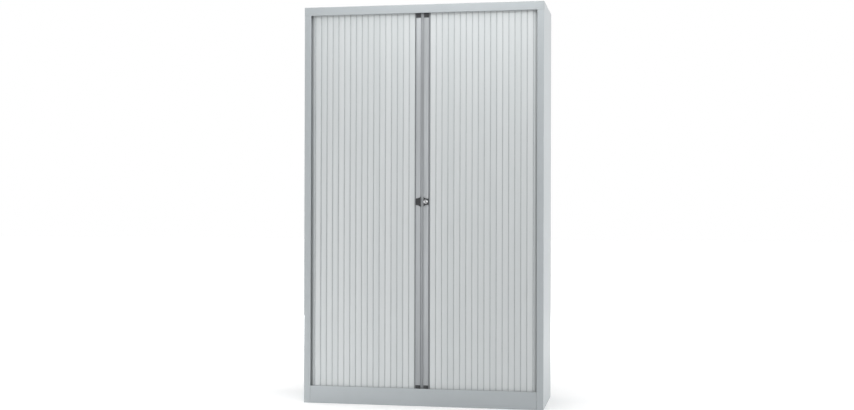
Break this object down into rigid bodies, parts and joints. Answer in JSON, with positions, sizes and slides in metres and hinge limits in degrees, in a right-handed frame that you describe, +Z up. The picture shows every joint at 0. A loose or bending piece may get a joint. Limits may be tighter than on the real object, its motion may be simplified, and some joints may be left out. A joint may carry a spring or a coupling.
{
  "type": "roll front tool cabinet",
  "caption": "Tall steel storage cabinet with two side-opening slatted shutters that meet at lockable handle bars, adjustable shelves inside and a plinth with levelling feet.",
  "frame": {"origin": "on the floor, at the middle of the cabinet's width and depth", "axes": "+X to the cabinet's right seen from the front, +Y to its back, +Z up"},
  "size_m": [1.2, 0.43, 1.98],
  "materials": {
    "carcass_paint": "powder coat, satin, fine orange peel",
    "inner_paint": "powder coat, satin",
    "shelf_paint": "powder coat, satin",
    "track_plastic": "extruded, matt",
    "slat_plastic": "extruded, silky",
    "glide_nylon": "moulded",
    "handle_aluminium": "anodised, silver grey",
    "black_plastic": "moulded, fine grain",
    "lock_chrome": "nickel plated",
    "zinc_steel": "zinc plated",
    "foot_black": "moulded pad and black spindle"
  },
  "bodies": {
    "carcass": {"left_side_panel": "carcass_paint", "right_side_panel": "carcass_paint", "top_panel": "carcass_paint", "plinth": "carcass_paint", "back_panel": "inner_paint", "base_panel": "inner_paint", "upper_deck": "inner_paint", "base_rail": "inner_paint", "top_rail": "inner_paint", "lower_track_left": "track_plastic", "lower_track_right": "track_plastic", "upper_track_left": "track_plastic", "upper_track_right": "track_plastic", "floor_panel": "inner_paint", "ceiling_panel": "inner_paint", "left_liner": "inner_paint", "right_liner": "inner_paint", "inner_back": "inner_paint", "left_front_upright": "inner_paint", "right_front_upright": "inner_paint", "left_rear_upright": "inner_paint", "right_rear_upright": "inner_paint", "shelf_1": "shelf_paint", "shelf_2": "shelf_paint", "shelf_3": "shelf_paint", "shelf_4": "shelf_paint", "shelf_clips": "zinc_steel", "foot_nuts": "zinc_steel"},
    "left_shutter": {"left_handle_bar": "handle_aluminium", "left_lower_cap": "black_plastic", "left_upper_cap": "black_plastic", "left_slats": "slat_plastic", "left_slat_glides": "glide_nylon", "finger_pull": "black_plastic", "lock_keep": "zinc_steel"},
    "right_shutter": {"right_handle_bar": "handle_aluminium", "right_lower_cap": "black_plastic", "right_upper_cap": "black_plastic", "right_slats": "slat_plastic", "right_slat_glides": "glide_nylon", "lock_plate": "black_plastic", "lock_barrel": "lock_chrome", "lock_nut": "zinc_steel"},
    "lock": {"lock_plug": "lock_chrome", "lock_cam": "zinc_steel", "cam_screw": "zinc_steel"},
    "foot_front_left": {"foot_front_left": "foot_black"},
    "foot_front_right": {"foot_front_right": "foot_black"},
    "foot_rear_left": {"foot_rear_left": "foot_black"},
    "foot_rear_right": {"foot_rear_right": "foot_black"}
  },
  "joints": [
    {"name": "left_shutter_slide", "type": "slide", "parent": "carcass", "child": "left_shutter", "axis": [-1, 0, 0], "range_m": [0, 0.505], "deforming": ["left_slats", "left_slat_glides"]},
    {"name": "right_shutter_slide", "type": "slide", "parent": "carcass", "child": "right_shutter", "axis": [1, 0, 0], "range_m": [0, 0.505], "deforming": ["right_slats", "right_slat_glides"]},
    {"name": "lock_turn", "type": "hinge", "parent": "right_shutter", "child": "lock", "pos_m": [0.0175, -0.2, 1.007], "axis": [0, -1, 0], "range_deg": [0, 90]},
    {"name": "foot_front_left_screw", "type": "slide", "parent": "carcass", "child": "foot_front_left", "axis": [0, 0, -1], "range_m": [0, 0.015]},
    {"name": "foot_front_right_screw", "type": "slide", "parent": "carcass", "child": "foot_front_right", "axis": [0, 0, -1], "range_m": [0, 0.015]},
    {"name": "foot_rear_left_screw", "type": "slide", "parent": "carcass", "child": "foot_rear_left", "axis": [0, 0, -1], "range_m": [0, 0.015]},
    {"name": "foot_rear_right_screw", "type": "slide", "parent": "carcass", "child": "foot_rear_right", "axis": [0, 0, -1], "range_m": [0, 0.015]}
  ]
}
